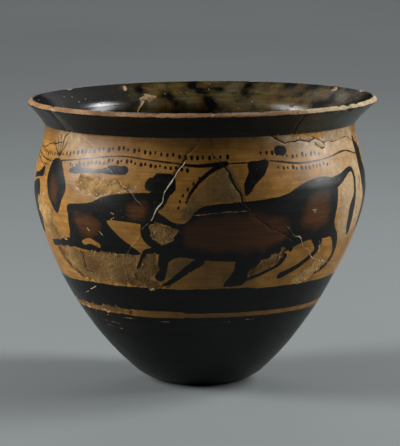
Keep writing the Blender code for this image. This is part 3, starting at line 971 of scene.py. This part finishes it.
def painted_depth(tree, found, round_at, place):
    """How deep in mm each place lies under slip: bands, figures, vine and dots."""
    waver = grain(tree, place, 14.0, -0.45, 0.45, 4.0)
    foot = add_node(tree, MATH, {0: FRIEZE_FOOT, 1: found["up"]}, operation="SUBTRACT")
    foot = add_node(tree, MATH, {0: foot, 1: waver}, operation="ADD")
    off_line = add_node(tree, MATH, {0: found["up"], 1: RESERVED_LINE_HEIGHT}, operation="SUBTRACT")
    off_line = add_node(tree, MATH, {0: waver, 1: 0.4, 2: off_line}, operation="MULTIPLY_ADD")
    off_line = add_node(tree, MATH, {0: off_line}, operation="ABSOLUTE")
    off_line = add_node(tree, MATH, {0: off_line, 1: found["line"]}, operation="SUBTRACT")
    base = add_node(tree, MATH, {0: foot, 1: off_line}, operation="MINIMUM")
    rim = add_node(tree, MATH, {0: found["up"], 1: RIM_SLIP_FOOT}, operation="SUBTRACT")
    stem = add_node(tree, MATH, {0: found["vine"]}, operation="ABSOLUTE")
    stem = add_node(tree, MATH, {0: grain(tree, place, 9.0, *STEM_HALF_WIDTHS), 1: stem},
                    operation="SUBTRACT")
    dotting = add_node(tree, MATH, {0: dots(tree, round_at, found["vine"], UPPER_DOTS),
                                    1: dots(tree, round_at, found["vine"], LOWER_DOTS)}, operation="MAXIMUM")
    dotted = add_node(tree, MATH, {0: found["undotted"], 1: 0.0}, operation="LESS_THAN")
    dotting = add_node(tree, MATH, {0: dotting, 1: dotted}, operation="MULTIPLY")
    dotting = add_node(tree, RANGE, {"Value": dotting, "To Min": -0.6, "To Max": 0.6})
    depth = base
    for part in (rim, stem, dotting, found["figure"]):
        depth = add_node(tree, MATH, {0: depth, 1: part}, operation="MAXIMUM")
    return depth


def finished(name, layers):
    """A material of that name whose nodes end in one shader: layers lays them out and gives the surface."""
    material = bpy.data.materials.new(name)
    material.use_nodes = True
    tree = material.node_tree
    tree.nodes.clear()
    surface = layers(tree)
    normal = add_node(tree, "ShaderNodeBump", {"Strength": 1.0, "Distance": MM, "Height": surface.height})
    shader = add_node(tree, "ShaderNodeBsdfPrincipled", {
        "Base Color": surface.colour, "Roughness": surface.roughness, "Metallic": 0.0, "IOR": FIRED_CLAY_IOR,
        "Specular IOR Level": FIRED_CLAY_SPECULAR, "Normal": normal})
    add_node(tree, "ShaderNodeOutputMaterial", {"Surface": shader})
    return material


def slip_painted_clay(finish):
    """Orange clay painted with black gloss slip. The slip mirrors the lamps in soft patches, the burnished
    clay only gleams, and the flaked places, the worn lip, the plaster and the cracks stay dull."""
    def layers(tree):
        place, turning = places(tree)
        found = kept_distances(tree, OUTSIDE_KEPT)
        axes = [add_node(tree, "ShaderNodeSeparateXYZ", {0: place}, output=axis) for axis in (0, 1)]
        back = add_node(tree, MATH, {0: axes[1], 1: -1.0}, operation="MULTIPLY")
        angle = add_node(tree, MATH, {0: axes[0], 1: back}, operation="ARCTAN2")
        round_at = add_node(tree, MATH, {0: angle, 1: FRIEZE_RADIUS}, operation="MULTIPLY")
        fine = grain(tree, place, 1.2, -0.10, 0.10)

        # Clay, and the slip painted on it
        clay = aged_clay(tree, place, found, burnished_clay(tree, place, turning, finish), finish)
        slip = gloss_slip(tree, place, turning, finish, OUTSIDE_ROUGHNESS)
        browned = within(tree, found["brown"], 2.2, grain(tree, place, 7.0, -1.6, 1.2, 4.0))
        slip = laid_over(tree, browned, slip, misfired_slip(tree, place, turning, finish, finish.slip_brown))
        greenish = add_node(tree, MATH, {0: found["olive"], 1: grain(tree, place, 5.0, 0.1, 0.8)},
                            operation="MULTIPLY")
        slip = laid_over(tree, greenish, slip, misfired_slip(tree, place, turning, finish, finish.olive))
        painted = within(tree, painted_depth(tree, found, round_at, place), PAINT_SOFT, fine)
        surface = laid_over(tree, painted, clay, slip)

        # Specks, rubbed spots and flaked places, with a fresh edge
        specks = speckled(tree, place, spacing=4.2, radius=0.24, share=0.3, strength=0.7)
        surface = laid_over(tree, specks, surface, Surface(finish.fleck, 0.7, 0.0))
        broken = flaked_clay(tree, place, found, round_at, finish)
        rubbed = add_node(tree, RANGE, {"Value": grain(tree, place, 0.7, 0.0, 1.0, 2.0),
                                        "From Min": 0.93, "From Max": 1.0, "To Max": 0.15})
        surface = laid_over(tree, rubbed, surface, broken)
        surface = laid_over(tree, within(tree, found["flaked"], PAINT_SOFT, fine), surface, broken)
        off_edge = add_node(tree, MATH, {0: found["flaked"]}, operation="ABSOLUTE")
        break_edge = within(tree, off_edge, PAINT_SOFT, grain(tree, place, 3.0, -0.55, 0.22, 4.0), -1.0)
        surface = surface._replace(colour=add_node(
            tree, MIX, {0: break_edge, 6: surface.colour, 7: finish.break_edge}, **COLOURS))

        # The lip, worn to the clay, with a bleached stretch
        lip_clay = broken_clay(tree, place, finish, finish.lip_clay, finish.lip_dark)
        bleached = add_node(tree, MATH, {0: found["olive"], 1: grain(tree, place, 2.0, 0.2, 1.0, 4.0)},
                            operation="MULTIPLY")
        pale_lip = add_node(tree, MIX, {0: bleached, 6: lip_clay.colour, 7: finish.lip_pale}, **COLOURS)
        worn_lip = within(tree, found["lip"], LINE_SOFT, grain(tree, place, 3.0, -0.60, -0.05, 4.0))
        surface = laid_over(tree, worn_lip, surface, lip_clay._replace(colour=pale_lip))

        # Scratches, filled joins and cracks, over everything else
        plaster = mottled(tree, finish.plaster, (place, 4.0, -0.5, 0.6, 3.0, finish.break_dark))
        lines = (("scratch", 0.10, grain(tree, place, 2.0, -0.08, 0.08), finish.break_edge, 0.7),
                 ("filled", LINE_SOFT, grain(tree, place, 3.0, -0.13, 0.0), plaster, 0.85),
                 ("crack", LINE_SOFT, grain(tree, place, 2.5, -0.08, 0.10), finish.dirt, 0.9))
        for name, soft, wobble, colour, roughness in lines:
            line_mask = within(tree, found[name], soft, wobble, -1.0)
            surface = laid_over(tree, line_mask, surface, Surface(colour, roughness, 0.0))
        return surface
    return finished("slip_painted_clay", layers)


def black_gloss_slip(finish):
    """The bowl's inside, all under black gloss slip: it mirrors the lamps more sharply than the outside,
    is brown and olive where it misfired, and is speckled with small dull pits from use."""
    def layers(tree):
        place, turning = places(tree)
        found = kept_distances(tree, INSIDE_KEPT)
        slip = gloss_slip(tree, place, turning, finish, INSIDE_ROUGHNESS)
        olive = misfired_slip(tree, place, turning, finish, finish.olive)
        golden = misfired_slip(tree, place, turning, finish, finish.slip_golden)
        mixed = laid_over(tree, grain(tree, place, 9.0, -0.2, 1.2, 4.0), olive, golden)
        misfired = add_node(tree, MATH, {0: found["misfired"], 1: grain(tree, place, 7.0, -0.2, 1.3, 5.0)},
                            operation="MULTIPLY")
        surface = laid_over(tree, misfired, slip, mixed)
        broken = broken_clay(tree, place, finish, finish.break_edge, finish.break_dark)
        worn = within(tree, found["depth"], 0.1, grain(tree, place, 3.0, -0.6, 0.12), -1.0)
        pitted = speckled(tree, place, spacing=2.8, radius=0.3, share=0.5, strength=0.8)
        for mask in (pitted, worn, within(tree, found["chip"], 0.15)):
            surface = laid_over(tree, mask, surface, broken)
        cracked = within(tree, found["crack"], LINE_SOFT, grain(tree, place, 2.5, -0.1, 0.1), -1.0)
        return laid_over(tree, cracked, surface, Surface(finish.break_pale, 0.9, 0.0))
    return finished("black_gloss_slip", layers)


def pale_paper(stage):
    """Matt studio paper: an even ground without gloss, with a slight drift in its tone."""
    def layers(tree):
        place, _ = places(tree)
        colour = mottled(tree, stage.floor_colour, (place, 300.0, 0.0, 0.1, 3.0, stage.room_colour))
        return Surface(colour, 0.9, 0.0)
    return finished("pale_paper", layers)


def colour_prop(name, code, description):
    """A colour that a user can change, given as an sRGB hex value."""
    return bpy.props.FloatVectorProperty(name=name, description=description, default=linear(code),
                                         subtype="COLOR", size=4, min=0.0, max=1.0)


def length_prop(name, metres, least, most, description):
    """A length that a user can change."""
    return bpy.props.FloatProperty(name=name, description=description, default=metres, min=least, max=most,
                                   unit="LENGTH")


def power_prop(name, watts, description):
    """A lamp's power that a user can change."""
    return bpy.props.FloatProperty(name=name, description=description, default=watts, min=0.0, unit="POWER")


class MastosFinish(bpy.types.PropertyGroup):
    """Colours of the clay, the slip and the mends."""
    clay: colour_prop("Clay", "#AC7A34", "Burnished orange clay of the frieze")
    clay_shade: colour_prop("Clay shade", "#86602C", "Browner drifts in the burnished clay")
    clay_deep: colour_prop("Clay streaks", "#664419", "Turning streaks in the clay")
    clay_pale: colour_prop("Pale clay", "#AA9474", "Clay that is rubbed and bleached at the neck")
    slip: colour_prop("Slip", "#070807", "Black gloss slip")
    slip_thin: colour_prop("Thin slip", "#1B140D", "Slip where the brush left it thin")
    slip_brown: colour_prop("Brown slip", "#563214", "Slip that fired brown inside the figures")
    slip_golden: colour_prop("Golden slip", "#5A4218", "Slip that fired golden brown inside the mouth")
    olive: colour_prop("Olive slip", "#4E4830", "Slip and stains that turned olive")
    # Dark tint of the crazing lines, and of the painted shade under the rim
    crazing_and_shade: colour_prop("Soot", "#3A2610", "Dirt of handling under the rim")
    break_pale: colour_prop("Broken clay", "#B08A52", "Clay where the skin has flaked away")
    # Also the tint of the painted shade low down on the flaked places
    break_dark: colour_prop("Broken clay, dark", "#5A401C", "Darker mottling of the broken clay")
    break_edge: colour_prop("Edge of a break", "#C3A27A", "Fresh clay along the edge of a flaked place")
    lip_clay: colour_prop("Lip", "#946E48", "Worn clay of the lip")
    lip_dark: colour_prop("Lip, dark", "#6A4A2A", "Darker mottling of the lip")
    lip_pale: colour_prop("Lip, pale", "#AEA080", "Bleached stretch of the lip")
    plaster: colour_prop("Plaster", "#E0D2B0", "Plaster and glue in the joins")
    fleck: colour_prop("Flecks", "#9C9A90", "Pale specks of lime on the slip")
    dirt: colour_prop("Dirt", "#24160C", "Soil in pits and cracks")


class MastosWear(bpy.types.PropertyGroup):
    """Depths of the turning and of the breaks."""
    ring_depth: length_prop("Turning rings", 0.00006, 0.0, 0.0005, "Depth of the turning rings outside")
    crack_depth: length_prop("Cracks", 0.00014, 0.0, 0.001, "Depth of the open cracks")
    fill_height: length_prop("Filled joins", 0.00003, 0.0, 0.0005, "How far plaster stands out of a join")
    flake_depth: length_prop("Flaked places", 0.00022, 0.0, 0.001, "Depth of the places that flaked away")


class MastosStage(bpy.types.PropertyGroup):
    """Floor and lights."""
    floor_radius: length_prop("Floor radius", 3.8, 0.5, 10.0, "Radius of the paper floor")
    floor_colour: colour_prop("Floor", "#6A6F6F", "Paper under the cup")
    room_colour: colour_prop("Room", "#8C9092", "Light of the room around")
    room_strength: bpy.props.FloatProperty(name="Room strength", description="Strength of the room's light",
                                           default=0.045, min=0.0)
    side_power: power_prop("Side lights", 9.4, "Power of the right low side light")
    high_power: power_prop("High lights", 13.5, "Power of the right high light")
    broad_power: power_prop("Broad lights", 4.0, "Power of the right broad light")
    backdrop_power: power_prop("Backdrop light", 21.5, "Power of the light over the far floor")


class MASTOS_OT_cup(bpy.types.Operator):
    """Makes the painted and worn cup in place of the plain solid"""
    bl_idname = "mastos.cup"
    bl_label = "Make the cup"

    def execute(self, context):
        mesh = cup_mesh(context.scene.mastos_wear)
        mesh.materials.append(slip_painted_clay(context.scene.mastos_finish))
        mesh.materials.append(black_gloss_slip(context.scene.mastos_finish))
        cup = bpy.data.objects.new("painted_cup", mesh)
        context.scene.collection.objects.link(cup)
        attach(cup, "root")
        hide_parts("cup")
        return {"FINISHED"}


def soft_light(lamp, power):
    """An area light of that power in watts, which faces its aim."""
    light = bpy.data.lights.new(lamp.name, "AREA")
    light.shape = "RECTANGLE"
    light.size = lamp.width
    light.size_y = lamp.height
    light.energy = power
    turn, rise = math.radians(lamp.azimuth), math.radians(lamp.elevation)
    away = Vector((math.sin(turn) * math.cos(rise), -math.cos(turn) * math.cos(rise), math.sin(rise)))
    place = Matrix.Translation(Vector(lamp.aim) + away * lamp.distance)
    holder = bpy.data.objects.new(lamp.name, light)
    bpy.context.scene.collection.objects.link(holder)
    holder.matrix_world = place @ away.to_track_quat("Z", "Y").to_matrix().to_4x4()


def paper_floor(stage):
    """A wide disc of paper under the cup."""
    disc = bmesh.new()
    bmesh.ops.create_circle(disc, cap_ends=True, radius=stage.floor_radius, segments=FLOOR_SEGMENTS)
    mesh = bpy.data.meshes.new("floor")
    disc.to_mesh(mesh)
    disc.free()
    mesh.materials.append(pale_paper(stage))
    return bpy.data.objects.new("floor", mesh)


class MASTOS_OT_stage(bpy.types.Operator):
    """Lays the floor and sets the camera and the soft lights"""
    bl_idname = "mastos.stage"
    bl_label = "Set the stage"

    def execute(self, context):
        stage = context.scene.mastos_stage
        floor = paper_floor(stage)
        context.scene.collection.objects.link(floor)

        for lamp in LAMPS:
            soft_light(lamp, lamp.share * getattr(stage, lamp.power))
        world = bpy.data.worlds.new("studio")
        world.use_nodes = True
        background = world.node_tree.nodes["Background"]
        background.inputs["Color"].default_value = stage.room_colour
        background.inputs["Strength"].default_value = stage.room_strength
        context.scene.world = world
        context.scene.view_settings.view_transform = "Standard"

        camera = bpy.data.cameras.new("camera")
        camera.lens = CAMERA_LENS
        camera.sensor_width = CAMERA_SENSOR
        camera.clip_end = CAMERA_REACH
        viewer = bpy.data.objects.new("camera", camera)
        viewer.location = CAMERA_PLACE
        viewer.rotation_euler = (math.radians(90.0 - CAMERA_DIP), 0.0, 0.0)
        context.scene.collection.objects.link(viewer)
        context.scene.camera = viewer
        return {"FINISHED"}


class MASTOS_PT_panel(bpy.types.Panel):
    """Lists the cup's operators and settings"""
    bl_idname = "MASTOS_PT_panel"
    bl_label = "Mastos cup"
    bl_space_type = "VIEW_3D"
    bl_region_type = "UI"
    bl_category = "Mastos"

    def draw(self, context):
        for operator in OPERATORS:
            self.layout.operator(operator.bl_idname)
        for name in SETTINGS:
            group = getattr(context.scene, name)
            for prop in group.__annotations__:
                self.layout.prop(group, prop)


OPERATORS = (MASTOS_OT_cup, MASTOS_OT_stage)
SETTINGS = {"mastos_finish": MastosFinish, "mastos_wear": MastosWear, "mastos_stage": MastosStage}
CLASSES = (*SETTINGS.values(), *OPERATORS, MASTOS_PT_panel)


def register():
    """Makes the settings, the operators and the panel known."""
    for cls in CLASSES:
        bpy.utils.register_class(cls)
    for name, group in SETTINGS.items():
        setattr(bpy.types.Scene, name, bpy.props.PointerProperty(type=group))


def unregister():
    """Takes them away again."""
    for name in SETTINGS:
        delattr(bpy.types.Scene, name)
    for cls in reversed(CLASSES):
        bpy.utils.unregister_class(cls)


def main():
    """Makes every piece and the stage."""
    register()
    bpy.ops.mastos.cup()
    bpy.ops.mastos.stage()


if __name__ == "__main__":
    main()
